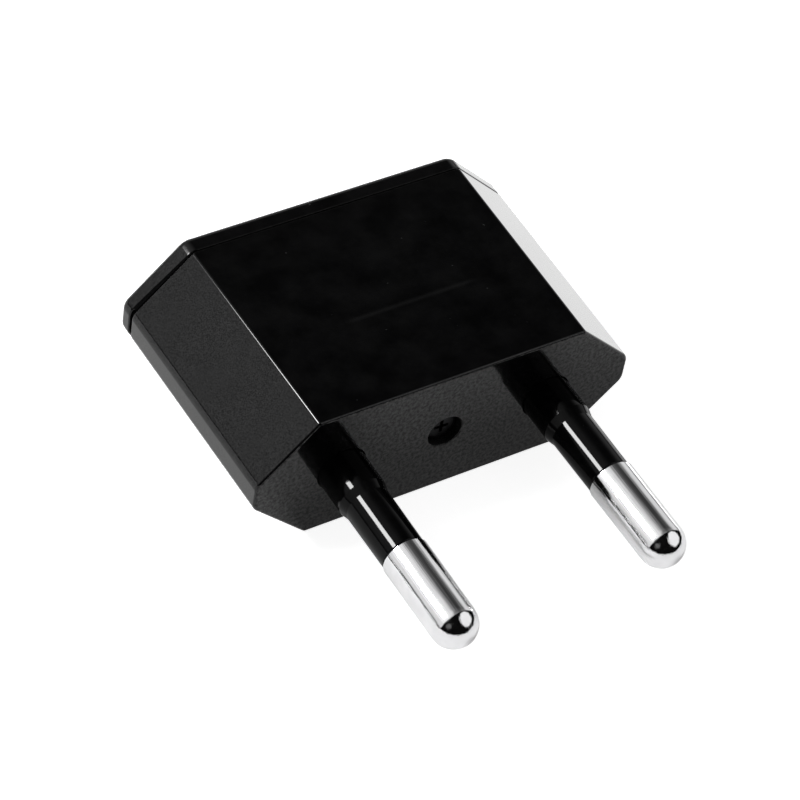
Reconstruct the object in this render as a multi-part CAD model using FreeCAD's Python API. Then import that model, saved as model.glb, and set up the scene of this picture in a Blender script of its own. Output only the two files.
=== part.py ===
"""Flat plug adapter: a two-pin round plug in front and a two-slot flat-blade socket behind.

Millimetres. The origin is the middle of the pin face, halfway between the pins.
+X is right and +Z is up, seen from the pins' side. The pins point to -Y and the socket opens to +Y.
"""

import FreeCAD
import Part
from FreeCAD import Vector

import math
import os

# ---- Driving dimensions ------------------------------------------------------------------

# The body is an eight-sided block: two broad faces, two narrow sides and four bevels at 45 degrees.
body_length = 22.15
body_thickness = 12.76
flat_half_width = 12.17       # half the width of the broad faces, at the pin face
bevel = 5.1                   # how far each bevel runs in X and in Z
draft = 0.015                 # growth of each half width per mm towards the socket

cover_thickness = 1.73        # what shows of the rear cover behind the seam
seam_gap = 0.15               # the seam is a groove this wide
seam_depth = 0.4
wall = 1.6
front_wall = 1.8

# Round plug pins
pin_pitch = 19.0
pin_radius = 1.975
pin_reach = 19.0              # pin face to pin tip
neck_radius = 1.25            # the pin under its insulating sleeve
sleeve_radius = 1.88          # half way along its slim part
sleeve_draft = 0.006          # the moulded slim part narrows this much per mm towards its end
sleeve_lip = 0.08
sleeve_reach = 9.7            # pin face to the end of the sleeve
collar_radius = 2.1
collar_reach = 3.3
collar_taper = 0.8
collar_clearance = 0.05
sleeve_flange_radius = 2.6
sleeve_flange = 0.6
shoulder_radius = 2.5
shoulder = 0.8
rivet_radius = 1.2
rivet_head_radius = 1.65
rivet_head = 0.6
shank_chamfer = 0.15          # where the bright shank meets its sleeve

# Flat-blade socket
slot_pitch = 12.7
slot_width = 2.0
slot_height = 8.3             # takes the wide blade of a polarised plug on either side
slot_lead_in = 0.4
funnel_wall = 0.8             # round each slot, behind the cover's plate
funnel_clearance = 0.2
hold_down_start = 11.3        # the cover's posts press on the outer ends of the feet
hold_down_width = 4.0

# Contact strips, riveted in pairs to the tail of each pin
strip = 0.4                   # sheet thickness
strip_width = 5.2
leaf_width = 5.0
throat = 1.7                  # between the two leaves at their roots
pinch = 0.9                   # between them where they grip
root_stub = 0.8               # the turned-up end of a foot, above the foot
grip_rise = 8.8               # leaf root to grip
leaf_rise = 12.1              # leaf root to leaf tip
mouth = 2.7                   # between the two tips
foot_end = 12.4               # outer end of each foot, from the middle
hinge_gap = 0.02
foot_corner_radius = 1.0
knee_radius = 1.2

# Cover screw, from the pin face into the cover's post
screw_seat = 1.9              # depth of the screw's seat below the pin face
screw_head_radius = 1.45
screw_head = 1.25
screw_bore_radius = 1.55
screw_bore_chamfer = 0.15
screw_clear_radius = 1.0
thread_radius = 0.85
thread_core = 0.62
thread_pitch = 0.7
screw_length = 12.7
screw_crown = 0.35            # the rounded rim of the head
screw_point = 1.2             # plain point below the last turn
threaded = 7.8                # length that carries turns
recess_arm = 0.95             # of the cross recess: half its span, half its width, its depth
recess_half_width = 0.22
recess_depth = 0.75
pilot_radius = 0.7
pilot_end = 16.5
pilot_chamfer = 0.3

column_radius = 3.0
column_end = 9.4
post_radius = 2.6
skirt = 1.5                   # the cover's rim reaches this far into the housing
skirt_wall = 1.0
skirt_clearance = 0.1
rib = 0.8
barrier_face = 3.7            # outer face of the ribs beside the screw column
barrier_end = 17.0
guide_start = 7.6             # the ribs above and below the feet begin here, beside the blade's way
guide_clearance = 0.1

edge_radius = 0.3             # between a broad face and a bevel
side_edge_radius = 1.1        # between a bevel and a narrow side
face_edge_radius = 0.25       # round the pin face
seam_radius = 0.1
cover_corner_radius = 1.3
cover_edge_radius = 0.7

cover_front = body_length - cover_thickness
seam = cover_front - seam_gap
flange_end = front_wall + sleeve_flange
shoulder_end = flange_end + shoulder
reach_out = 1.0               # how far a cutting tool runs past the face that it opens
sides = {"left": -1, "right": 1}

FreeCAD.Console.SetStatus("Console", "Wrn", False)


# ---- Helpers -----------------------------------------------------------------------------

def box(x, y, z):
    """A box from pairs of limits."""
    return Part.makeBox(x[1] - x[0], y[1] - y[0], z[1] - z[0], Vector(x[0], y[0], z[0]))


def rod(radius, y0, y1, x=0.0):
    """A cylinder along Y."""
    return Part.makeCylinder(radius, y1 - y0, Vector(x, y0, 0), Vector(0, 1, 0))


def section(y, inset=0.0):
    """The eight corners of the body's outline at y, moved inwards by inset."""
    corner_shift = inset * math.tan(math.pi / 8)
    flat = flat_half_width + draft * y - corner_shift
    side = flat_half_width + bevel + draft * y - inset
    top = body_thickness / 2 - inset
    low = body_thickness / 2 - bevel - corner_shift
    quarter = [(flat, top), (side, low)]
    right = quarter + [(x, -z) for x, z in reversed(quarter)]
    outline = right + [(-x, -z) for x, z in right]
    return [Vector(x, y, z) for x, z in outline]


def block(y0, y1, inset=0.0):
    """A solid of the body's outline between two stations. All its faces are flat."""
    front, back = section(y0, inset), section(y1, inset)
    rings = [front, back]
    for i in range(len(front)):
        rings.append([front[i - 1], front[i], back[i], back[i - 1]])
    shell = Part.makeShell([Part.Face(Part.makePolygon(ring + ring[:1])) for ring in rings])
    shell.sewShape()
    solid = Part.makeSolid(shell).removeSplitter()
    if solid.Volume < 0:
        solid.reverse()
    return solid


def round_off(solid, radius, wanted):
    """Rounds the edges for which wanted(edge) is true."""
    edges = [e for e in solid.Edges if wanted(e)]
    return solid.makeFillet(radius, edges)


def at_station(y):
    """True for an edge that lies in the plane of that y."""
    return lambda e: all(abs(v.Y - y) < 1e-4 for v in e.Vertexes)


def runs_back(e):
    """True for an edge from the front of a block to its back."""
    return len(e.Vertexes) == 2 and abs(e.Vertexes[0].Y - e.Vertexes[1].Y) > cover_thickness / 2


def beside_broad_face(e):
    return runs_back(e) and abs(abs(e.Vertexes[0].Z) - body_thickness / 2) < 0.01


def beside_narrow_side(e):
    return runs_back(e) and not beside_broad_face(e)


def turned(points, x=0.0):
    """A solid of revolution about the line along Y at x. points are (radius, y), or an arc's middle
    between two of them, marked by a third value."""
    edges = []
    spots = [Vector(x + p[0], p[1], 0) for p in points]
    i = 0
    while i < len(points) - 1:
        if len(points[i + 1]) == 3:
            edges.append(Part.Arc(spots[i], spots[i + 1], spots[i + 2]).toShape())
            i += 2
        else:
            edges.append(Part.LineSegment(spots[i], spots[i + 1]).toShape())
            i += 1
    edges.append(Part.LineSegment(spots[-1], spots[0]).toShape())
    face = Part.Face(Part.Wire(edges))
    return face.revolve(Vector(x, 0, 0), Vector(0, 1, 0), 360)


def arc_middle(centre_y, radius, toward):
    """The middle of a quarter arc about the axis, for turned()."""
    half = math.sqrt(0.5)
    return (radius * half, centre_y + toward * radius * half, "arc")


def save(shape, name):
    shape = shape.removeSplitter()
    if not shape.isValid():
        raise ValueError(name + " is not a valid solid")
    shape.exportStep("parts/" + name + ".step")
    print(f"{name:22s} {len(shape.Solids)} solid  {shape.Volume:9.2f} mm3")


# ---- Housing -----------------------------------------------------------------------------

def housing():
    """The front shell: five closed sides, the pin holes, the screw column and the inner ribs."""
    shell = block(0, seam)
    shell = round_off(shell, edge_radius, beside_broad_face)
    shell = round_off(shell, side_edge_radius, beside_narrow_side)
    shell = round_off(shell, face_edge_radius, at_station(0))
    shell = round_off(shell, seam_radius, at_station(seam))
    cavity = block(front_wall, seam + reach_out, wall)
    inside_top = body_thickness / 2 - wall

    keep = [rod(column_radius, front_wall, column_end)]
    for way in (-1, 1):
        faces = sorted((way * barrier_face, way * (barrier_face - rib)))
        keep.append(box(faces, (front_wall, barrier_end), (-inside_top, inside_top)))
    for way in (-1, 1):
        for up in (-1, 1):
            x = sorted((way * guide_start, way * (foot_end + guide_clearance)))
            z = sorted((up * (strip_width / 2 + guide_clearance), up * inside_top))
            keep.append(box(x, (front_wall, shoulder_end + 3 * strip), z))
    ribs = keep[0].fuse(keep[1:]).common(cavity)
    shell = shell.cut(cavity).fuse(ribs)

    for way in (-1, 1):
        shell = shell.cut(rod(collar_radius + collar_clearance, -reach_out, front_wall + reach_out,
                              way * pin_pitch / 2))
    bore = turned([(0, -reach_out), (screw_bore_radius + screw_bore_chamfer + reach_out, -reach_out),
                   (screw_bore_radius, screw_bore_chamfer), (screw_bore_radius, screw_seat),
                   (screw_clear_radius, screw_seat), (screw_clear_radius, column_end + reach_out),
                   (0, column_end + reach_out)])
    return shell.cut(bore)


# ---- Rear cover --------------------------------------------------------------------------

def slot_tool(way):
    """The through slot for one blade, with its sloped lead-in at the socket face."""
    x = way * slot_pitch / 2
    half_w, half_h = slot_width / 2, slot_height / 2
    through = box((x - half_w, x + half_w), (seam - skirt - reach_out, body_length + reach_out),
                  (-half_h, half_h))
    rings = []
    for y, grow in ((body_length - slot_lead_in, 0.0), (body_length + 0.1, slot_lead_in + 0.1)):
        w, h = half_w + grow, half_h + grow
        rings.append(Part.makePolygon([Vector(x + a * w, y, b * h) for a, b in
                                       ((-1, -1), (1, -1), (1, 1), (-1, 1), (-1, -1))]))
    return through.fuse(Part.makeLoft(rings, True, True))


def rear_cover():
    """The socket face with its rim, slot funnels, screw post and two posts that hold the contacts down."""
    plate = block(cover_front, body_length)
    plate = round_off(plate, cover_corner_radius, runs_back)
    plate = round_off(plate, cover_edge_radius, at_station(body_length))
    plate = round_off(plate, seam_radius, at_station(cover_front))
    into_plate = cover_front + cover_thickness / 2
    plate = plate.fuse(block(seam, into_plate, seam_depth))
    rim_inset = wall + skirt_clearance
    rim = block(seam - skirt, into_plate, rim_inset)
    plate = plate.fuse(rim.cut(block(seam - skirt - reach_out, seam, rim_inset + skirt_wall)))

    plate = plate.fuse(rod(post_radius, column_end, into_plate))
    for way in (-1, 1):
        x = way * slot_pitch / 2
        half_w = slot_width / 2 + funnel_wall
        half_h = body_thickness / 2 - rim_inset - funnel_clearance
        plate = plate.fuse(box((x - half_w, x + half_w), (seam - skirt, into_plate), (-half_h, half_h)))
        x = sorted((way * hold_down_start, way * foot_end))
        half_w = hold_down_width / 2
        plate = plate.fuse(box(x, (shoulder_end + 2 * strip, into_plate), (-half_w, half_w)))
    for way in (-1, 1):
        plate = plate.cut(slot_tool(way))
    pilot = turned([(0, column_end - reach_out),
                    (pilot_radius + pilot_chamfer + reach_out, column_end - reach_out),
                    (pilot_radius, column_end + pilot_chamfer), (pilot_radius, pilot_end),
                    (0, pilot_end + pilot_radius)])
    return plate.cut(pilot)


# ---- Pins and sleeves --------------------------------------------------------------------

def plug_pin(way):
    """A turned pin: round tip, bright shank, neck, shoulder, and a tail riveted over the strips."""
    x = way * pin_pitch / 2
    tip = pin_reach - pin_radius
    stack_end = shoulder_end + 2 * strip
    return turned([(0, -pin_reach), arc_middle(-tip, pin_radius, -1), (pin_radius, -tip),
                   (pin_radius, -sleeve_reach - shank_chamfer),
                   (pin_radius - shank_chamfer, -sleeve_reach),
                   (neck_radius, -sleeve_reach), (neck_radius, flange_end),
                   (shoulder_radius, flange_end), (shoulder_radius, shoulder_end),
                   (rivet_radius, shoulder_end), (rivet_radius, stack_end),
                   (rivet_head_radius, stack_end), (rivet_head_radius, stack_end + rivet_head / 2),
                   (rivet_head_radius * 0.6, stack_end + rivet_head), (0, stack_end + rivet_head)], x)


def pin_sleeve(way):
    """The insulating sleeve: a thin tube with a thicker collar at the face and a flange behind it."""
    x = way * pin_pitch / 2
    slim_start = collar_reach + collar_taper
    half_draft = sleeve_draft * (sleeve_reach - slim_start) / 2
    end_radius = sleeve_radius - half_draft
    return turned([(neck_radius, -sleeve_reach), (end_radius - sleeve_lip, -sleeve_reach),
                   (end_radius, -sleeve_reach + sleeve_lip), (sleeve_radius + half_draft, -slim_start),
                   (collar_radius, -collar_reach), (collar_radius, front_wall),
                   (sleeve_flange_radius, front_wall), (sleeve_flange_radius, flange_end),
                   (neck_radius, flange_end)], x)


# ---- Contact strips ----------------------------------------------------------------------

def leaf_root(inner):
    """Where a leaf's hinge line stands: distance from the middle, and y."""
    offset = throat / 2 + strip / 2
    layer = 1 if inner else 2
    x = slot_pitch / 2 + (-offset if inner else offset)
    return x, shoulder_end + layer * strip + root_stub + strip / 2 + hinge_gap


def contact_foot(way, inner):
    """The clamped part of one strip: a flat foot round the rivet and its turned-up inner end."""
    x, y = leaf_root(inner)
    layer = 0 if inner else 1
    y0 = shoulder_end + layer * strip
    half_w = strip_width / 2
    flat = box((x - strip / 2, foot_end), (y0, y0 + strip), (-half_w, half_w))
    half_w = leaf_width / 2
    stub = box((x - strip / 2, x + strip / 2), (y0, y - strip / 2 - hinge_gap), (-half_w, half_w))
    foot = flat.fuse(stub).removeSplitter()
    bend = [e for e in foot.Edges if all(abs(v.Y - y0) < 1e-4 and abs(v.X - x + strip / 2) < 1e-4
                                         for v in e.Vertexes)]
    foot = foot.makeFillet(strip * 0.9, bend)
    corners = [e for e in foot.Edges if all(abs(v.X - foot_end) < 1e-4 for v in e.Vertexes)
               and abs(e.Vertexes[0].Y - e.Vertexes[1].Y) > strip / 2]
    foot = foot.makeFillet(foot_corner_radius, corners)
    foot = foot.cut(rod(rivet_radius, y0 - reach_out, y0 + reach_out, pin_pitch / 2))
    return mirrored(foot, way)


def contact_leaf(way, inner):
    """The springing part of one strip: it leans in to the grip, then flares out to its mouth."""
    x, y = leaf_root(inner)
    out = -1 if inner else 1                      # away from the blade
    blade = slot_pitch / 2
    half = strip / 2
    grip = blade + out * (pinch / 2 + half)
    tip = blade + out * (mouth / 2 + half)
    path = [(x, y), (grip, y + grip_rise), (tip, y + leaf_rise)]

    def beside(a, b, shift):
        """The two ends of a run, moved sideways by shift."""
        length = math.hypot(b[0] - a[0], b[1] - a[1])
        nx, ny = (b[1] - a[1]) / length * shift, -(b[0] - a[0]) / length * shift
        return (a[0] + nx, a[1] + ny), (b[0] + nx, b[1] + ny)

    def crossing(first, second):
        """Where two lines meet, each given by two points."""
        (x1, y1), (x2, y2) = first
        (x3, y3), (x4, y4) = second
        d = (x1 - x2) * (y3 - y4) - (y1 - y2) * (x3 - x4)
        a, b = x1 * y2 - y1 * x2, x3 * y4 - y3 * x4
        return (a * (x3 - x4) - (x1 - x2) * b) / d, (a * (y3 - y4) - (y1 - y2) * b) / d

    lower = {s: beside(path[0], path[1], s * half) for s in (-1, 1)}
    upper = {s: beside(path[1], path[2], s * half) for s in (-1, 1)}
    knee = {s: crossing(lower[s], upper[s]) for s in (-1, 1)}
    spot = lambda p: Vector(p[0], p[1], -leaf_width / 2)
    run = math.hypot(grip - x, grip_rise)
    end = (x - (grip - x) / run * half, y - grip_rise / run * half)
    edges = [Part.Arc(spot(lower[-1][0]), spot(end), spot(lower[1][0])).toShape()]
    corners = [lower[1][0], knee[1], upper[1][1], upper[-1][1], knee[-1], lower[-1][0]]
    edges += [Part.LineSegment(spot(a), spot(b)).toShape() for a, b in zip(corners, corners[1:])]
    leaf = Part.Face(Part.Wire(edges)).extrude(Vector(0, 0, leaf_width))
    knees = []
    for e in leaf.Edges:
        start = e.Vertexes[0]
        at_knee = any(math.hypot(start.X - k[0], start.Y - k[1]) < 1e-3 for k in knee.values())
        if at_knee and abs(start.Z - e.Vertexes[-1].Z) > half:
            knees.append(e)
    leaf = leaf.makeFillet(knee_radius, knees)
    return mirrored(leaf, way)


def mirrored(shape, way):
    """The shape itself for the right side, and its mirror image for the left."""
    return shape if way > 0 else shape.mirror(Vector(0, 0, 0), Vector(1, 0, 0))


# ---- Cover screw -------------------------------------------------------------------------

def cover_screw():
    """A pan-head tapping screw with a cross recess. Its thread is drawn as rings."""
    top = screw_seat - screw_head
    tip = screw_seat + screw_length
    outline = [(0, top), (screw_head_radius - screw_crown, top), (screw_head_radius, top + screw_crown),
               (screw_head_radius, screw_seat), (thread_core, screw_seat)]
    turns = int(threaded / thread_pitch)
    y = tip - screw_point - turns * thread_pitch
    for _ in range(turns):
        outline += [(thread_core, y), (thread_radius, y + thread_pitch * 0.4),
                    (thread_core, y + thread_pitch * 0.8)]
        y += thread_pitch
    outline += [(thread_core, y), (0, tip)]
    screw = turned(outline)
    arm, half, floor = recess_arm, recess_half_width, top + recess_depth
    recess = box((-arm, arm), (top - reach_out, floor), (-half, half))
    recess = recess.fuse(box((-half, half), (top - reach_out, floor), (-arm, arm)))
    taper = turned([(0, top - reach_out), (arm + half * 2, top - reach_out), (half, floor), (0, floor)])
    heart = turned([(0, top - hinge_gap), (arm * 0.7, top - hinge_gap), (half * 0.25, floor + half),
                    (0, floor + half)])
    return screw.cut(recess.common(taper).fuse(heart))


# ---- Build -------------------------------------------------------------------------------

def main():
    os.makedirs("parts", exist_ok=True)
    save(housing(), "housing")
    save(rear_cover(), "rear_cover")
    save(cover_screw(), "cover_screw")
    for name, way in sides.items():
        save(plug_pin(way), name + "_pin")
        save(pin_sleeve(way), name + "_pin_sleeve")
        for place, inner in (("inner", True), ("outer", False)):
            save(contact_foot(way, inner), f"{name}_{place}_contact_foot")
            save(contact_leaf(way, inner), f"{name}_{place}_contact_leaf")
    for place, inner in (("inner", True), ("outer", False)):
        x, y = leaf_root(inner)
        print(f"{place} leaf hinge line: x {x:.3f}, y {y:.3f}")


main()
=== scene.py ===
import bpy
import math
from mathutils import Matrix, Vector


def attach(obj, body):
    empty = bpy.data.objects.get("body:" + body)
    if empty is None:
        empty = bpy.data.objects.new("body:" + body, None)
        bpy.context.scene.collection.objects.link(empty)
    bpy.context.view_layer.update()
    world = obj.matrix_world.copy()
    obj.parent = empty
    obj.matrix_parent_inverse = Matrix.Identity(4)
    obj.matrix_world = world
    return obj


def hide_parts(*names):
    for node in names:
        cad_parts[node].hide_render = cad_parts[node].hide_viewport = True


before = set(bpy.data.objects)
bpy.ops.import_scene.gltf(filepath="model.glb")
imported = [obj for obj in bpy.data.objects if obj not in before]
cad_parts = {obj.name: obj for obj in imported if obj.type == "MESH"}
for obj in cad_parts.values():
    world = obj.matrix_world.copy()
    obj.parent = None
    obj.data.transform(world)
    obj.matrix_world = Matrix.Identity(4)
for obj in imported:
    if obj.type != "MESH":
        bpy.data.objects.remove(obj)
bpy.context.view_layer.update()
bpy.ops.object.select_all(action="DESELECT")

# lengths are written in millimetres, and multiplied by mm where Blender needs metres
mm = 0.001
near = 0.01        # a point this close to a line or plane lies on it
hair = 0.005       # the same, where other points are close by
mergeGap = 0.002   # points closer than this become one
shortest = 0.001   # edges shorter than this go
over = 1.0         # how far a cutting shape reaches past what it cuts
facing = 0.9       # a face looks along an axis when its normal has more than this of it
print("frame loaded:", len(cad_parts), "parts")


# working habits: select, edit, cut, finish

def makeActive(piece):
    if bpy.context.mode != "OBJECT":
        bpy.ops.object.mode_set(mode="OBJECT")
    bpy.ops.object.select_all(action="DESELECT")
    piece.select_set(True)
    bpy.context.view_layer.objects.active = piece


def settle(name):
    # the new primitive keeps its place in its mesh, and its object goes to the origin
    piece = bpy.context.object
    piece.name = name
    piece.data.name = name
    makeActive(piece)
    bpy.ops.object.transform_apply(location=True, rotation=True, scale=True)
    return piece


def addBox(name, corner, opposite):
    middle = [(a + b) / 2 * mm for a, b in zip(corner, opposite)]
    spread = [abs(b - a) * mm for a, b in zip(corner, opposite)]
    bpy.ops.mesh.primitive_cube_add(size=1, location=middle, scale=spread)
    return settle(name)


def addRod(name, radius, y0, y1, x=0.0, sides=96):
    bpy.ops.mesh.primitive_cylinder_add(vertices=sides, radius=radius * mm, depth=(y1 - y0) * mm,
                                        location=(x * mm, (y0 + y1) / 2 * mm, 0), rotation=(math.pi / 2, 0, 0))
    return settle(name)


def pick(piece, kind, wanted):
    # kind is VERT, EDGE or FACE; wanted gets millimetres and says which to select
    makeActive(piece)
    bpy.ops.object.mode_set(mode="EDIT")
    bpy.ops.mesh.select_mode(type=kind)
    bpy.ops.mesh.select_all(action="DESELECT")
    bpy.ops.object.mode_set(mode="OBJECT")
    mesh = piece.data
    spots = [v.co / mm for v in mesh.vertices]
    if kind == "VERT":
        for v in mesh.vertices:
            v.select = bool(wanted(spots[v.index]))
    elif kind == "EDGE":
        for e in mesh.edges:
            e.select = bool(wanted(spots[e.vertices[0]], spots[e.vertices[1]]))
    else:
        for f in mesh.polygons:
            f.select = bool(wanted(f.center / mm, f.normal))
    bpy.ops.object.mode_set(mode="EDIT")


def done():
    bpy.ops.object.mode_set(mode="OBJECT")


def slide(x=0.0, y=0.0):
    bpy.ops.transform.translate(value=(x * mm, y * mm, 0))


def pull(y):
    bpy.ops.mesh.extrude_region_move(TRANSFORM_OT_translate={"value": (0, y * mm, 0)})


def grow(sx, sy, sz, centre):
    bpy.ops.transform.resize(value=(sx, sy, sz), center_override=[c * mm for c in centre])


def insetBy(amount):
    bpy.ops.mesh.inset(thickness=amount * mm, depth=0, use_even_offset=True)


def roundEdges(width, segments):
    bpy.ops.mesh.bevel(offset=width * mm, offset_type="OFFSET", segments=segments, profile=0.5, affect="EDGES")


def applyModifier(piece, kind, **settings):
    makeActive(piece)
    modifier = piece.modifiers.new(kind.lower(), kind)
    for key, value in settings.items():
        setattr(modifier, key, value)
    bpy.ops.object.modifier_apply(modifier=modifier.name)


def combine(piece, other, how):
    applyModifier(piece, "BOOLEAN", operation=how, object=other, solver="EXACT")
    bpy.data.objects.remove(other)


def tidyUp(piece, angle=32):
    # one clean closed skin, smooth over its roundings and flat on its faces
    pick(piece, "VERT", lambda v: True)
    bpy.ops.mesh.remove_doubles(threshold=mergeGap * mm)
    bpy.ops.mesh.dissolve_degenerate(threshold=shortest * mm)
    bpy.ops.mesh.normals_make_consistent(inside=False)
    done()
    makeActive(piece)
    bpy.ops.object.shade_smooth_by_angle(angle=math.radians(angle))


def rescale(piece, factor):
    makeActive(piece)
    piece.scale = (factor, factor, factor)
    bpy.ops.object.transform_apply(location=False, rotation=False, scale=True)


def evenShading(piece):
    # the larger faces lead the shading; in metres their areas are too small to count,
    # so it's done a thousand times larger
    rescale(piece, 1 / mm)
    applyModifier(piece, "WEIGHTED_NORMAL", keep_sharp=True, weight=100, thresh=0.15)
    rescale(piece, mm)


def place(piece, node):
    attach(piece, "case")
    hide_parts(node)


# camera

cameraView = {"lens": 147.4, "sensor": 36, "clip": 0.01, "roll": 10.22,
              "from": (-0.11167, -0.13708, 0.19035), "at": (-0.00159, 0.00444, 0.0)}
bpy.ops.object.camera_add(location=cameraView["from"])
camera = bpy.context.object
camera.name = "camera"
camera.data.lens = cameraView["lens"]
camera.data.sensor_width = cameraView["sensor"]
camera.data.clip_start = cameraView["clip"]
sight = Vector(cameraView["at"]) - Vector(cameraView["from"])
roll = Matrix.Rotation(math.radians(cameraView["roll"]), 3, "Z")
camera.rotation_euler = (sight.to_track_quat("-Z", "Y").to_matrix() @ roll).to_euler()
bpy.context.scene.camera = camera
bpy.context.scene.view_settings.view_transform = "Standard"
print("camera set")


# materials

def newMaterial(name):
    material = bpy.data.materials.new(name)
    material.use_nodes = True
    return material, material.node_tree, material.node_tree.nodes["Principled BSDF"]


def addNode(tree, kind, inputs=None, **settings):
    node = tree.nodes.new(kind)
    for key, value in settings.items():
        setattr(node, key, value)
    for key, value in (inputs or {}).items():
        node.inputs[key].default_value = value
    return node


def objectPlace(tree, stretch=(1, 1, 1), turnBy=(0, 0, 0)):
    # a point on the object, in metres, with the pattern stretched or turned
    source = addNode(tree, "ShaderNodeTexCoord")
    mapping = addNode(tree, "ShaderNodeMapping", {"Scale": stretch, "Rotation": turnBy})
    tree.links.new(source.outputs["Object"], mapping.inputs["Vector"])
    return mapping.outputs["Vector"]


def separate(tree, vector):
    node = addNode(tree, "ShaderNodeSeparateXYZ")
    tree.links.new(vector, node.inputs[0])
    return node.outputs


def noise(tree, vector, size, detail=3.0, rough=0.55):
    # size is the grain's size in millimetres
    node = addNode(tree, "ShaderNodeTexNoise", {"Scale": 1 / (size * mm), "Detail": detail, "Roughness": rough})
    tree.links.new(vector, node.inputs["Vector"])
    return node.outputs["Fac"]


def ramp(tree, value, stops):
    node = addNode(tree, "ShaderNodeValToRGB")
    while len(node.color_ramp.elements) < len(stops):
        node.color_ramp.elements.new(0.5)
    for element, (position, level) in zip(node.color_ramp.elements, stops):
        element.position = position
        element.color = (*level, 1) if isinstance(level, tuple) else (level, level, level, 1)
    tree.links.new(value, node.inputs["Fac"])
    return node.outputs["Color"]


def mapRange(tree, value, start, stop, low, high):
    # low where the value is at start, high where it is at stop
    node = addNode(tree, "ShaderNodeMapRange",
                   {"From Min": start, "From Max": stop, "To Min": low, "To Max": high})
    tree.links.new(value, node.inputs["Value"])
    return node.outputs["Result"]


def combineValues(tree, first, second, how="ADD", clamp=False):
    node = addNode(tree, "ShaderNodeMath", operation=how, use_clamp=clamp)
    for spot, value in zip(node.inputs, (first, second)):
        if isinstance(value, (int, float)):
            spot.default_value = value
        else:
            tree.links.new(value, spot)
    return node.outputs["Value"]


def times(tree, first, second):
    return combineValues(tree, first, second, "MULTIPLY")


# where a noise's values lie, and the parts of it that a colour or a grain goes across
noiseSpan = (0.3, 0.7)
cloudSpan = (0.35, 0.7)
grainSpan = (0.38, 0.66)
grainShineSpan = (0.38, 0.6)
speckSpan = (0.79, 0.82)


def shades(tree, value, look, span=cloudSpan):
    # the base colour where the noise is low, and the paler one where it is high
    return ramp(tree, value, [(span[0], look["colour"]), (span[1], look["paler"])])


def setRoughness(tree, shader, value, look):
    tree.links.new(mapRange(tree, value, *noiseSpan, *look["roughness"]), shader.inputs["Roughness"])


def setRelief(tree, shader, height, depth):
    # depth is the relief in millimetres
    node = addNode(tree, "ShaderNodeBump", {"Strength": 1.0, "Distance": depth * mm})
    tree.links.new(height, node.inputs["Height"])
    tree.links.new(node.outputs["Normal"], shader.inputs["Normal"])


def nearLine(tree, value, middle, half, soft):
    # 1 within half of the middle, falling to 0 over soft, in millimetres
    away = addNode(tree, "ShaderNodeMath", operation="ABSOLUTE")
    tree.links.new(combineValues(tree, value, middle * mm, "SUBTRACT"), away.inputs[0])
    return mapRange(tree, away.outputs[0], half * mm, (half + soft) * mm, 1, 0)


def lighten(tree, colour, amount, level):
    # adds a pale touch where amount is 1
    node = addNode(tree, "ShaderNodeMix", data_type="RGBA", blend_type="ADD")
    tree.links.new(amount, node.inputs[0])
    tree.links.new(colour, node.inputs[6])
    node.inputs[7].default_value = (level, level, level, 1)
    return node.outputs[2]


def polishedPlastic(name, look):
    # polished mould: mirror-like, with a slow ripple, hair scratches, a few pale specks, and a faint pale line over the
    # inner rib, a painted sheen where a sink mark catches the light
    material, tree, shader = newMaterial(name)
    flat = objectPlace(tree)
    colour = shades(tree, noise(tree, flat, look["cloudSize"], detail=5, rough=0.6), look)
    specks = noise(tree, flat, look["speckSize"], detail=1)
    specks = ramp(tree, specks, [(speckSpan[0], 0.0), (speckSpan[1], 1.0)])
    colour = lighten(tree, colour, specks, look["speckPale"])
    # a faint pale line across the top over the inner rib: painted sheen standing in for a sink mark catching the light
    if look["sinkWidth"]:
        parts = separate(tree, flat)
        across = nearLine(tree, parts["Y"], look["sinkPlace"], 0, look["sinkWidth"])
        along = nearLine(tree, parts["X"], look["sinkCentre"], look["sinkHalf"], look["sinkFade"])
        colour = lighten(tree, colour, times(tree, across, along), look["sinkSheen"])
    tree.links.new(colour, shader.inputs["Base Color"])
    scratched = objectPlace(tree, look["scratchStretch"], look["scratchTurn"])
    setRoughness(tree, shader, noise(tree, scratched, look["scratchSize"], detail=2), look)
    setRelief(tree, shader, noise(tree, flat, look["rippleSize"], detail=1), look["rippleDepth"])
    shader.inputs["Specular IOR Level"].default_value = look["shine"]
    return material


def grainedPlastic(name, look):
    # spark-eroded mould: fine even grain that dulls the shine in specks, yet still mirrors the pins
    material, tree, shader = newMaterial(name)
    flat = objectPlace(tree)
    grain = noise(tree, flat, look["grainSize"], detail=look["grainDetail"], rough=0.65)
    tree.links.new(shades(tree, grain, look, grainSpan), shader.inputs["Base Color"])
    shine = ramp(tree, grain, [(grainShineSpan[0], look["dimmest"]), (grainShineSpan[1], look["brightest"])])
    tree.links.new(shine, shader.inputs["Specular Tint"])
    setRoughness(tree, shader, noise(tree, flat, look["cloudSize"]), look)
    setRelief(tree, shader, grain, look["grainDepth"])
    return material


def glossySleeve(name, look):
    material, tree, shader = newMaterial(name)
    flat = objectPlace(tree)
    cloud = noise(tree, flat, look["cloudSize"])
    tree.links.new(shades(tree, cloud, look), shader.inputs["Base Color"])
    setRoughness(tree, shader, cloud, look)
    setRelief(tree, shader, noise(tree, flat, look["rippleSize"], detail=2), look["rippleDepth"])
    shader.inputs["Specular IOR Level"].default_value = look["shine"]
    return material


def metal(name, look):
    # plated or bare metal with fine tool marks, drawn out where the marks are stretched
    material, tree, shader = newMaterial(name)
    marks = noise(tree, objectPlace(tree, look["markStretch"]), look["markSize"], detail=3)
    cloud = noise(tree, objectPlace(tree), look["cloudSize"])
    tree.links.new(shades(tree, cloud, look), shader.inputs["Base Color"])
    setRoughness(tree, shader, marks, look)
    setRelief(tree, shader, marks, look["markDepth"])
    shader.inputs["Metallic"].default_value = 1.0
    return material


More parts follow.
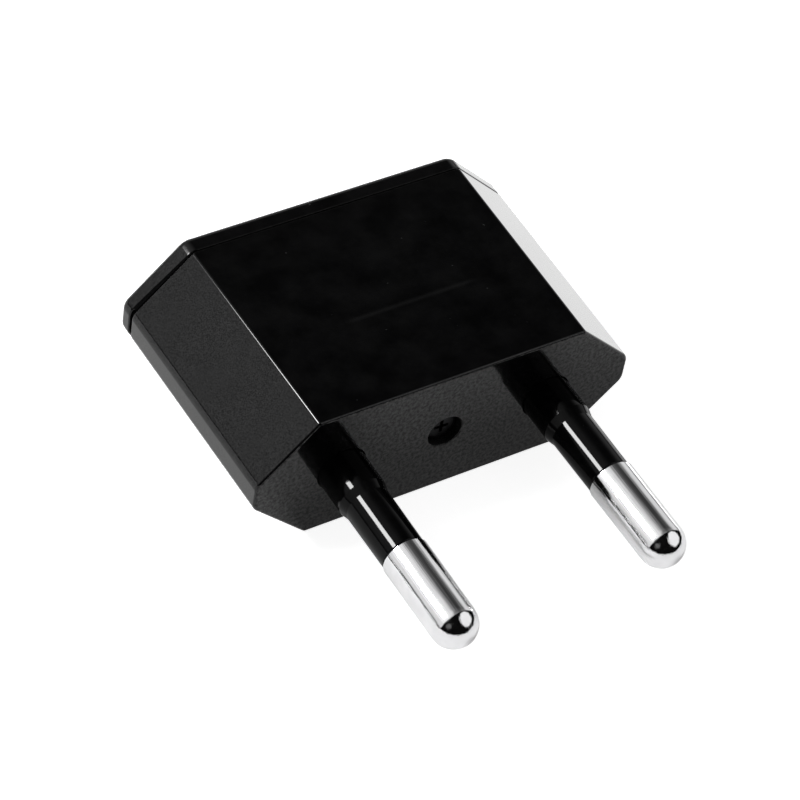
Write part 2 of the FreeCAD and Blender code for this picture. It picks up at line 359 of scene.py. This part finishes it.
# sizes, depths and places in millimetres
housingPolishedLook = {"colour": (0.0003, 0.0003, 0.0004), "paler": (0.0032, 0.0032, 0.0033),
                       "roughness": (0.06, 0.12), "shine": 0.22, "cloudSize": 3.2,
                       "scratchSize": 0.35, "scratchStretch": (1, 0.06, 1), "scratchTurn": (0, 0, 0.5),
                       "rippleSize": 5.0, "rippleDepth": 0.004, "speckSize": 0.45, "speckPale": 0.02,
                       "sinkPlace": 8.6, "sinkCentre": 1.05, "sinkHalf": 5.0, "sinkWidth": 0.3,
                       "sinkFade": 1.2, "sinkSheen": 0.004}
coverPolishedLook = {**housingPolishedLook, "paler": (0.003, 0.003, 0.0032), "roughness": (0.12, 0.2),
                     "sinkWidth": 0}
housingGrainedLook = {"colour": (0.0003, 0.0003, 0.0004), "paler": (0.0028, 0.0028, 0.003),
                      "roughness": (0.05, 0.1), "cloudSize": 1.6, "grainSize": 0.1, "grainDetail": 2,
                      "grainDepth": 0.002, "dimmest": 0.3, "brightest": 0.97}
coverGrainedLook = {**housingGrainedLook, "roughness": (0.08, 0.14), "brightest": 0.9}
housingFaceLook = {**housingGrainedLook, "paler": (0.004, 0.004, 0.0042), "grainSize": 0.3, "grainDetail": 4,
                   "dimmest": 0.0, "brightest": 1.0}
# the screw bore's wall: the housing's plastic made paler, a painted light on the hole's inner wall, and rougher
paintedLitBoreLook = {**housingGrainedLook, "colour": (0.002, 0.002, 0.0021), "paler": (0.006, 0.006, 0.0062),
                   "roughness": (0.4, 0.5)}
sleeveLook = {"colour": (0.0008, 0.0008, 0.0009), "paler": (0.002, 0.002, 0.0021), "roughness": (0.05, 0.09),
              "shine": 0.1, "cloudSize": 0.9, "rippleSize": 1.8, "rippleDepth": 0.004}
nickelLook = {"colour": (0.82, 0.82, 0.83), "paler": (0.88, 0.88, 0.89), "roughness": (0.03, 0.1),
              "cloudSize": 1.2, "markStretch": (1, 0.03, 1), "markSize": 0.2, "markDepth": 0.013}
bronzeLook = {"colour": (0.62, 0.4, 0.2), "paler": (0.8, 0.58, 0.34), "roughness": (0.2, 0.38),
              "cloudSize": 1.2, "markStretch": (1, 0.08, 1), "markSize": 0.04, "markDepth": 0.0006}
screwLook = {"colour": (0.008, 0.008, 0.0085), "paler": (0.018, 0.018, 0.019), "roughness": (0.3, 0.45),
             "cloudSize": 1.2, "markStretch": (1, 1, 1), "markSize": 0.05, "markDepth": 0.0006}

housingPolished = polishedPlastic("housingPolished", housingPolishedLook)
housingGrained = grainedPlastic("housingGrained", housingGrainedLook)
housingFace = grainedPlastic("housingFace", housingFaceLook)
paintedLitBore = grainedPlastic("paintedLitBore", paintedLitBoreLook)
coverPolished = polishedPlastic("coverPolished", coverPolishedLook)
coverGrained = grainedPlastic("coverGrained", coverGrainedLook)
sleeveBlack = glossySleeve("sleeveBlack", sleeveLook)
pinNickel = metal("pinNickel", nickelLook)
contactBronze = metal("contactBronze", bronzeLook)
screwBlack = metal("screwBlack", screwLook)
print("materials made")


# body: housing and cover share one eight-sided section

bodyForm = {"halfWidth": 17.27, "halfThickness": 6.38, "bevel": 5.1, "draft": 0.015,
            "edgeRound": 0.3, "sideRound": 1.1, "lipScale": 0.3, "polishFacing": 0.72}
cornerShare = math.tan(math.pi / 8)   # a rounding of this corner starts this many radii from it


def runsBack(a, b):
    # an edge along the body, and not across it
    return abs(a.y - b.y) > 0.5


def bodyBlock(name, y0, y1, inset=0.0):
    # the section from y0 to y1, moved in by inset all round
    wide = bodyForm["halfWidth"] + bodyForm["draft"] * y0 - inset
    thick = bodyForm["halfThickness"] - inset
    piece = addBox(name, (-wide, y0, -thick), (wide, y1, thick))
    pick(piece, "EDGE", runsBack)
    roundEdges(bodyForm["bevel"] - inset * (1 - cornerShare), segments=1)
    spread = bodyForm["draft"] * (y1 - y0)
    for way in (-1, 1):
        pick(piece, "VERT", lambda v: v.y > y1 - near and v.x * way > 0)
        slide(x=way * spread)
    done()
    return piece


def roundLongEdges(piece, broad, side):
    # the edges along the body: first those beside the broad faces, then those beside the narrow sides
    thick = bodyForm["halfThickness"]
    for height, radius, segments in ((thick, broad, 5), (thick - bodyForm["bevel"], side, 7)):
        pick(piece, "EDGE", lambda a, b: runsBack(a, b) and abs(abs(a.z) - height) < near)
        roundEdges(radius * cornerShare, segments)
    done()


def roundOutline(piece, y, radius, segments):
    pick(piece, "EDGE", lambda a, b: abs(a.y - y) < hair and abs(b.y - y) < hair)
    roundEdges(radius, segments)
    done()


def sharpenLip(piece, y, radius, reach):
    # at the seam the broad faces have a much sharper lip than the bevels
    thick, scale = bodyForm["halfThickness"], bodyForm["lipScale"]
    for up in (-1, 1):
        pick(piece, "VERT", lambda v: abs(v.y - y) < radius + hair and v.z * up > thick - radius - hair
             and abs(v.x) < reach)
        grow(1, scale, scale, (0, y, up * thick))
    done()


def onBroadFace(face, height):
    return abs(face.normal.z) > bodyForm["polishFacing"] and abs(face.center.z) > height * mm


housingForm = {"seam": 20.27, "wall": 1.6, "frontWall": 1.8, "faceRound": 0.25, "seamRound": 0.15,
               "lipReach": 12.4, "pinPitch": 19.0, "pinHole": 2.15, "holeRound": 0.07,
               "screwBore": 1.55, "screwSeat": 1.9, "screwClear": 1.0, "boreChamfer": 0.15,
               "column": 3.0, "columnEnd": 9.4, "barrierFace": 3.7, "rib": 0.8, "barrierEnd": 17.0,
               "guideStart": 7.6, "guideStop": 12.5, "guideInner": 2.7, "guideEnd": 4.4,
               "wallBite": 0.3, "frontBite": 0.4, "polishFrom": 6.2, "faceDepth": 0.05}
form = housingForm
housingShell = bodyBlock("housingShell", 0, form["seam"])
roundLongEdges(housingShell, bodyForm["edgeRound"], bodyForm["sideRound"])
roundOutline(housingShell, 0, form["faceRound"], segments=3)
roundOutline(housingShell, form["seam"], form["seamRound"], segments=3)
sharpenLip(housingShell, form["seam"], form["seamRound"], form["lipReach"])
cavity = bodyBlock("cavity", form["frontWall"], form["seam"] + over, form["wall"])
combine(housingShell, cavity, "DIFFERENCE")

# inner ribs and the screw column stand on the front wall, and go a little way into each wall they meet
innerTop = bodyForm["halfThickness"] - form["wall"] + form["wallBite"]
root = form["frontWall"] - form["frontBite"]
for way in (-1, 1):
    x = way * form["barrierFace"]
    barrier = addBox("barrier", (x, root, -innerTop), (x - way * form["rib"], form["barrierEnd"], innerTop))
    combine(housingShell, barrier, "UNION")
    for up in (-1, 1):
        guide = addBox("guide", (way * form["guideStart"], root, up * form["guideInner"]),
                       (way * form["guideStop"], form["guideEnd"], up * innerTop))
        combine(housingShell, guide, "UNION")
combine(housingShell, addRod("column", form["column"], root, form["columnEnd"]), "UNION")

# pin holes and the stepped screw hole
pinPlace = form["pinPitch"] / 2
for way in (-1, 1):
    pinHole = addRod("pinHole", form["pinHole"], -over, form["frontWall"] + over, way * pinPlace)
    combine(housingShell, pinHole, "DIFFERENCE")
bore = addRod("bore", form["screwBore"], -over, form["screwSeat"], sides=64)
pick(bore, "FACE", lambda c, n: n.y > facing)
insetBy(form["screwBore"] - form["screwClear"])
pull(form["columnEnd"] + over - form["screwSeat"])
done()
combine(housingShell, bore, "DIFFERENCE")


def onRim(v, x, radius):
    return abs(v.y) < hair and abs(math.hypot(v.x - x, v.z) - radius) < near


for x, radius, width in ((-pinPlace, form["pinHole"], form["holeRound"]),
                         (pinPlace, form["pinHole"], form["holeRound"]),
                         (0, form["screwBore"], form["boreChamfer"])):
    pick(housingShell, "EDGE", lambda a, b: onRim(a, x, radius) and onRim(b, x, radius))
    roundEdges(width, segments=3)
tidyUp(housingShell)
evenShading(housingShell)
for material in (housingGrained, housingPolished, housingFace, paintedLitBore):
    housingShell.data.materials.append(material)
for face in housingShell.data.polygons:
    spot = face.center / mm
    if onBroadFace(face, form["polishFrom"]):
        face.material_index = 1
    elif face.normal.y < -facing and spot.y < form["faceDepth"]:
        face.material_index = 2
    # faces in the screw bore get the paler plastic, a painted light on the hole's wall
    elif math.hypot(spot.x, spot.z) < form["screwBore"] + form["boreChamfer"]:
        face.material_index = 3
place(housingShell, "housing")
print("housing shaped:", len(housingShell.data.polygons), "faces")


coverForm = {"front": 20.42, "back": 22.15, "cornerRound": 1.3, "edgeRound": 0.7, "seamRound": 0.15,
             "lipReach": 11.95, "sideGap": 0.24, "gapFrom": 17.1,
             "seam": 20.27, "seamDepth": 0.4, "rimInset": 1.7, "skirt": 1.5, "skirtWall": 1.0,
             "post": 2.6, "postEnd": 9.4, "pilot": 0.7, "pilotEnd": 16.5, "pilotChamfer": 0.3, "pilotOver": 0.2,
             "slotPitch": 12.7, "slotWidth": 2.0, "slotHeight": 8.3, "leadIn": 0.4, "leadOver": 0.1,
             "funnelWall": 0.8, "funnelTop": 4.48, "funnelShort": 0.001,
             "holdStart": 11.3, "holdStop": 12.4, "holdHalf": 2.0, "holdEnd": 4.0,
             "plateBite": 0.8, "biteStep": 0.1, "polishFrom": 5.9}
form = coverForm
coverPlate = bodyBlock("coverPlate", form["front"], form["back"])
roundLongEdges(coverPlate, form["cornerRound"], form["cornerRound"])
roundOutline(coverPlate, form["back"], form["edgeRound"], segments=6)
roundOutline(coverPlate, form["front"], form["seamRound"], segments=3)
sharpenLip(coverPlate, form["front"], form["seamRound"], form["lipReach"])
lipEnd = form["front"] + form["seamRound"] + hair
pick(coverPlate, "VERT", lambda v: v.y < lipEnd and v.x < -form["gapFrom"])
slide(y=form["sideGap"])   # the cover sits a little open at its left side
done()

# the neck in the seam, the rim that enters the housing, and what stands on the plate;
# the rim and the post end at depths of their own in the plate, so that no faces coincide
inPlate = form["front"] + form["plateBite"]
rimStart = form["seam"] - form["skirt"]
combine(coverPlate, bodyBlock("neck", form["seam"], inPlate, form["seamDepth"]), "UNION")
rim = bodyBlock("rim", rimStart, inPlate - 2 * form["biteStep"], form["rimInset"])
rimInside = bodyBlock("rimInside", rimStart - over, form["seam"], form["rimInset"] + form["skirtWall"])
combine(rim, rimInside, "DIFFERENCE")
combine(coverPlate, rim, "UNION")
combine(coverPlate, addRod("post", form["post"], form["postEnd"], inPlate - form["biteStep"]), "UNION")
slotPlace = form["slotPitch"] / 2
funnelHalf = form["slotWidth"] / 2 + form["funnelWall"]
for way in (-1, 1):
    x = way * slotPlace
    funnel = addBox("funnel", (x - funnelHalf, rimStart + form["funnelShort"], -form["funnelTop"]),
                    (x + funnelHalf, inPlate, form["funnelTop"]))
    combine(coverPlate, funnel, "UNION")
    holdDown = addBox("holdDown", (way * form["holdStart"], form["holdEnd"], -form["holdHalf"]),
                      (way * form["holdStop"], inPlate, form["holdHalf"]))
    combine(coverPlate, holdDown, "UNION")

# blade slots with their sloped mouths
halfWidth, halfHeight = form["slotWidth"] / 2, form["slotHeight"] / 2
mouthStart = form["back"] - form["leadIn"]
widen = form["leadIn"] + form["leadOver"]
for way in (-1, 1):
    x = way * slotPlace
    slot = addBox("slot", (x - halfWidth, rimStart - over, -halfHeight), (x + halfWidth, mouthStart, halfHeight))
    pick(slot, "FACE", lambda c, n: n.y > facing)
    pull(widen)
    grow(1 + widen / halfWidth, 1, 1 + widen / halfHeight, (x, mouthStart + widen, 0))
    done()
    combine(coverPlate, slot, "DIFFERENCE")

# the screw's pilot hole, with a chamfer
pilotStart = form["postEnd"] + form["pilotChamfer"]
widen = form["pilotChamfer"] + form["pilotOver"]
flare = 1 + widen / form["pilot"]
pilot = addRod("pilot", form["pilot"], pilotStart, form["pilotEnd"], sides=48)
pick(pilot, "FACE", lambda c, n: n.y < -facing)
pull(-widen)
grow(flare, 1, flare, (0, pilotStart - widen, 0))
done()
combine(coverPlate, pilot, "DIFFERENCE")
tidyUp(coverPlate)
evenShading(coverPlate)
for material in (coverGrained, coverPolished):
    coverPlate.data.materials.append(material)
for face in coverPlate.data.polygons:
    face.material_index = 1 if onBroadFace(face, form["polishFrom"]) else 0
place(coverPlate, "rear_cover")
print("cover shaped:", len(coverPlate.data.polygons), "faces")


# turned pieces: a line of points is drawn by extruding one vertex, then spun about the pin's axis

def turnedPiece(name, line, steps=96):
    bpy.ops.mesh.primitive_plane_add(size=mm, location=(line[0][0] * mm, line[0][1] * mm, 0))
    piece = settle(name)
    pick(piece, "VERT", lambda v: True)
    bpy.ops.mesh.merge(type="CENTER")
    for (r0, y0), (r1, y1) in zip(line, line[1:]):
        step = ((r1 - r0) * mm, (y1 - y0) * mm, 0)
        bpy.ops.mesh.extrude_region_move(TRANSFORM_OT_translate={"value": step})
    bpy.ops.mesh.select_all(action="SELECT")
    bpy.ops.mesh.spin(steps=steps, angle=2 * math.pi, center=(0, 0, 0), axis=(0, 1, 0))
    done()
    return piece


def quarterTurn(steps):
    return [math.pi / 2 * i / steps for i in range(steps + 1)]


pinForm = {"radius": 1.975, "reach": 19.0, "sleeveEnd": 9.7, "chamfer": 0.15, "neck": 1.25,
           "flangeEnd": 2.4, "shoulder": 2.5, "shoulderEnd": 3.2, "rivet": 1.2, "stackEnd": 4.0,
           "head": 1.65, "headHeight": 0.6, "headTop": 0.6, "tipSteps": 20}
form = pinForm
radius, front = form["radius"], -form["sleeveEnd"]
headEnd = form["stackEnd"] + form["headHeight"]
tipCentre = radius - form["reach"]
pinLine = [(radius * math.sin(a), tipCentre - radius * math.cos(a)) for a in quarterTurn(form["tipSteps"])]
pinLine += [(radius, front - form["chamfer"]), (radius - form["chamfer"], front),
            (form["neck"], front), (form["neck"], form["flangeEnd"]),
            (form["shoulder"], form["flangeEnd"]), (form["shoulder"], form["shoulderEnd"]),
            (form["rivet"], form["shoulderEnd"]), (form["rivet"], form["stackEnd"]),
            (form["head"], form["stackEnd"]), (form["head"], form["stackEnd"] + form["headHeight"] / 2),
            (form["head"] * form["headTop"], headEnd), (0, headEnd)]

sleeveForm = {"radius": 1.88, "draft": 0.006, "end": 9.7, "lip": 0.08, "collar": 2.1, "collarReach": 3.3,
              "taper": 0.8, "wallEnd": 1.8, "flange": 2.6, "flangeEnd": 2.4, "bore": 1.25}
form = sleeveForm
slimStart = form["collarReach"] + form["taper"]
halfDraft = form["draft"] * (form["end"] - slimStart) / 2
slimmest, front = form["radius"] - halfDraft, -form["end"]
sleeveLine = [(form["bore"], front), (slimmest - form["lip"], front), (slimmest, front + form["lip"]),
              (form["radius"] + halfDraft, -slimStart), (form["collar"], -form["collarReach"]),
              (form["collar"], form["wallEnd"]), (form["flange"], form["wallEnd"]),
              (form["flange"], form["flangeEnd"]), (form["bore"], form["flangeEnd"]), (form["bore"], front)]


def bothSides(piece, names, nodes, material, angle):
    # the finished piece goes to the left pin's axis, and a copy with its own mesh to the right one's
    tidyUp(piece, angle)
    piece.data.materials.append(material)
    makeActive(piece)
    bpy.ops.object.duplicate()
    twin = bpy.context.object
    for one, name, node, way in zip((piece, twin), names, nodes, (-1, 1)):
        one.name = name
        one.data.name = name
        makeActive(one)
        slide(x=way * pinPlace)
        bpy.ops.object.transform_apply(location=True, rotation=True, scale=True)
        place(one, node)


bothSides(turnedPiece("pin", pinLine), ("leftPin", "rightPin"), ("left_pin", "right_pin"),
          pinNickel, angle=28)
bothSides(turnedPiece("sleeve", sleeveLine), ("leftSleeve", "rightSleeve"),
          ("left_pin_sleeve", "right_pin_sleeve"), sleeveBlack, angle=12)   # a crisp taper
print("pins and sleeves turned")


screwForm = {"seat": 1.9, "headRadius": 1.45, "head": 1.25, "crown": 0.35, "crownSteps": 6,
             "length": 12.7, "core": 0.62, "thread": 0.85, "pitch": 0.7, "crest": 0.4, "foot": 0.8,
             "point": 1.2, "threaded": 7.8, "arm": 0.95, "armHalf": 0.22, "recess": 0.75, "recessScale": 0.45}
form = screwForm
core, pitch, crown = form["core"], form["pitch"], form["crown"]
top = form["seat"] - form["head"]
tip = form["seat"] + form["length"]
turns = int(form["threaded"] / pitch)
y = tip - form["point"] - turns * pitch
screwLine = [(0, top)]
for a in quarterTurn(form["crownSteps"]):
    screwLine.append((form["headRadius"] - crown * (1 - math.sin(a)), top + crown * (1 - math.cos(a))))
screwLine += [(form["headRadius"], form["seat"]), (core, form["seat"]), (core, y)]
for i in range(turns):
    screwLine += [(form["thread"], y + pitch * form["crest"]), (core, y + pitch * form["foot"])]
    if i < turns - 1:
        screwLine.append((core, y + pitch))
    y += pitch
screwLine += [(core, y), (0, tip)]
coverScrew = turnedPiece("coverScrew", screwLine, steps=48)
tidyUp(coverScrew)

# the cross recess narrows toward its floor
arm, armHalf, floorDepth = form["arm"], form["armHalf"], top + form["recess"]
cross = addBox("cross", (-arm, top - over, -armHalf), (arm, floorDepth, armHalf))
combine(cross, addBox("crossArm", (-armHalf, top - over, -arm), (armHalf, floorDepth, arm)), "UNION")
pick(cross, "VERT", lambda v: v.y > top)
grow(form["recessScale"], 1, form["recessScale"], (0, floorDepth, 0))
done()
combine(coverScrew, cross, "DIFFERENCE")
tidyUp(coverScrew)
coverScrew.data.materials.append(screwBlack)
place(coverScrew, "cover_screw")
print("screw made")


# the contact strips stay as they are, in spring bronze
for name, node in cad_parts.items():
    if "contact" in name:
        for spot in node.material_slots:
            spot.material = contactBronze
print("contacts finished")


# floor and card

def emptyMaterial(name):
    material = bpy.data.materials.new(name)
    material.use_nodes = True
    material.node_tree.nodes.clear()
    return material, material.node_tree


studio = {"floorLevel": -6.4, "floorSize": 3.0, "floorColour": (0.8, 0.8, 0.8, 1), "floorGlow": 0.82, "floorShine": 0.2,
          "cardShine": 1.85, "cardCorners": ((24, 4), (130, 130)), "cardThickness": 0.05}
whiteLight = (1, 1, 1, 1)
bpy.ops.mesh.primitive_plane_add(size=studio["floorSize"], location=(0, 0, studio["floorLevel"] * mm))
floor = settle("floor")
paper, tree = emptyMaterial("paper")
output = addNode(tree, "ShaderNodeOutputMaterial")
white = addNode(tree, "ShaderNodeBsdfDiffuse", {"Color": studio["floorColour"]})
shining = addNode(tree, "ShaderNodeEmission", {"Color": whiteLight})
rays = addNode(tree, "ShaderNodeLightPath")
seen = times(tree, rays.outputs["Is Camera Ray"], studio["floorGlow"])
mirrored = times(tree, rays.outputs["Is Glossy Ray"], studio["floorShine"])
through = times(tree, rays.outputs["Is Transmission Ray"], studio["floorShine"])
tree.links.new(combineValues(tree, combineValues(tree, seen, mirrored), through), shining.inputs["Strength"])
both = addNode(tree, "ShaderNodeAddShader")
tree.links.new(white.outputs[0], both.inputs[0])
tree.links.new(shining.outputs[0], both.inputs[1])
tree.links.new(both.outputs[0], output.inputs["Surface"])
floor.data.materials.append(paper)

# a bright card on the floor to the right, which only the shiny faces see
(x0, y0), (x1, y1) = studio["cardCorners"]
underside = studio["floorLevel"] + studio["cardThickness"]
card = addBox("card", (x0, y0, underside), (x1, y1, underside + studio["cardThickness"]))
cardPaper, tree = emptyMaterial("cardGlow")
output = addNode(tree, "ShaderNodeOutputMaterial")
shining = addNode(tree, "ShaderNodeEmission", {"Color": whiteLight, "Strength": studio["cardShine"]})
tree.links.new(shining.outputs[0], output.inputs["Surface"])
card.data.materials.append(cardPaper)
card.visible_camera = False
card.visible_diffuse = False
card.visible_shadow = False


# the room that shiny faces mirror, in patches round a direction: level where the cosine to it is past full,
# outside where it is below rim; a shade multiplies what is there
room = {"tent": {"toward": (-0.02, 1, 0), "rim": -0.03, "full": 0.03, "level": 0.76, "outside": 0},
        "shades": [{"toward": (-0.174, 0.985, 0), "rim": 0.0, "full": 0.05, "level": 1, "outside": 0},
                   {"toward": (0.393, 0.541, 0.743), "rim": 0.85, "full": 0.99, "level": 0.08, "outside": 1},
                   {"toward": (0.62, 0.251, 0.743), "rim": 0.927, "full": 0.99, "level": 0.4, "outside": 1},
                   {"toward": (0.259, 0, 0.966), "rim": 0.9, "full": 0.97, "level": 0.3, "outside": 1},
                   {"toward": (0, 0, 1), "rim": 0.05, "full": 0.16, "level": 1, "outside": 0.05}],
        "brightPatch": {"toward": (-0.624, 0.332, 0.707), "rim": 0.88, "full": 0.985, "level": 0.3, "outside": 0},
        "window": {"toward": (0.635, -0.428, 0.643), "rim": 0.855, "full": 0.88, "level": 0.95, "outside": 0},
        "sill": {"toward": (0, 0, 1), "rim": 0.2, "full": 0.3, "level": 1, "outside": 0.1},
        "faintLamp": {"toward": (-0.726, -0.419, 0.545), "rim": 0.965, "full": 0.997, "level": 0.13, "outside": 0},
        "ceiling": 0.003, "around": 0.35}
world = bpy.data.worlds.new("studioWorld")
bpy.context.scene.world = world
world.use_nodes = True
tree = world.node_tree
tree.nodes.clear()
output = addNode(tree, "ShaderNodeOutputWorld")
background = addNode(tree, "ShaderNodeBackground", {"Color": whiteLight})
rays = addNode(tree, "ShaderNodeLightPath")
direction = addNode(tree, "ShaderNodeTexCoord").outputs["Generated"]


def glow(patch):
    middle = Vector(patch["toward"]).normalized()
    closeness = addNode(tree, "ShaderNodeVectorMath", {1: middle}, operation="DOT_PRODUCT")
    tree.links.new(direction, closeness.inputs[0])
    return mapRange(tree, closeness.outputs["Value"], patch["rim"], patch["full"], patch["outside"], patch["level"])


lit = glow(room["tent"])
for shade in room["shades"]:
    lit = times(tree, lit, glow(shade))
lit = combineValues(tree, lit, glow(room["brightPatch"]))
window = times(tree, glow(room["window"]), glow(room["sill"]))
lit = combineValues(tree, combineValues(tree, lit, window, "MAXIMUM"), glow(room["faintLamp"]))
lit = combineValues(tree, lit, room["ceiling"])

# the camera sees plain white, shiny faces see the room, and everything else an even light
cameraRay = rays.outputs["Is Camera Ray"]
shiny = combineValues(tree, rays.outputs["Is Glossy Ray"], rays.outputs["Is Transmission Ray"], clamp=True)
counted = combineValues(tree, shiny, cameraRay, clamp=True)
plain = combineValues(tree, 1.0, counted, "SUBTRACT", clamp=True)
strength = combineValues(tree, cameraRay, times(tree, shiny, lit))
strength = combineValues(tree, strength, times(tree, plain, room["around"]))
tree.links.new(strength, background.inputs["Strength"])
tree.links.new(background.outputs[0], output.inputs["Surface"])

# one strip of light up behind the left, as the shiny faces see it and as it lights the rest; sizes in metres
stripForm = {"toward": (-0.56, 0.54, 0.63), "distance": 0.6, "width": 0.16}
lamps = {"stripGlint": {"radiance": 84.0, "length": 0.263, "shift": -0.0935, "glossy": True, "fadeFrom": 0.8},
         "stripLight": {"radiance": 17.0, "length": 0.45, "shift": 0.0, "glossy": False, "fadeFrom": 1.0}}
toward = Vector(stripForm["toward"]).normalized()
side = Vector((0, 1, 0)).cross(toward).normalized()
along = toward.cross(side)   # the long side runs with the pins
for name, lamp in lamps.items():
    spot = toward * stripForm["distance"] + along * lamp["shift"]
    bpy.ops.object.light_add(type="AREA", location=spot)
    light = bpy.context.object
    light.name = name
    light.rotation_euler = Matrix((side, along, toward)).transposed().to_euler()
    light.data.shape = "RECTANGLE"
    light.data.size, light.data.size_y = stripForm["width"], lamp["length"]
    light.data.energy = lamp["radiance"] * math.pi * stripForm["width"] * lamp["length"]
    light.visible_glossy = lamp["glossy"]
    light.visible_diffuse = not lamp["glossy"]
    light.visible_camera = False
    if lamp["fadeFrom"] < 1:
        # its far end fades out
        light.data.use_nodes = True
        tree = light.data.node_tree
        parts = separate(tree, addNode(tree, "ShaderNodeNewGeometry").outputs["Parametric"])
        fade = mapRange(tree, parts["Y"], lamp["fadeFrom"], 1, 1, 0)
        tree.links.new(fade, tree.nodes["Emission"].inputs["Strength"])
print("studio lit")

bpy.context.view_layer.update()
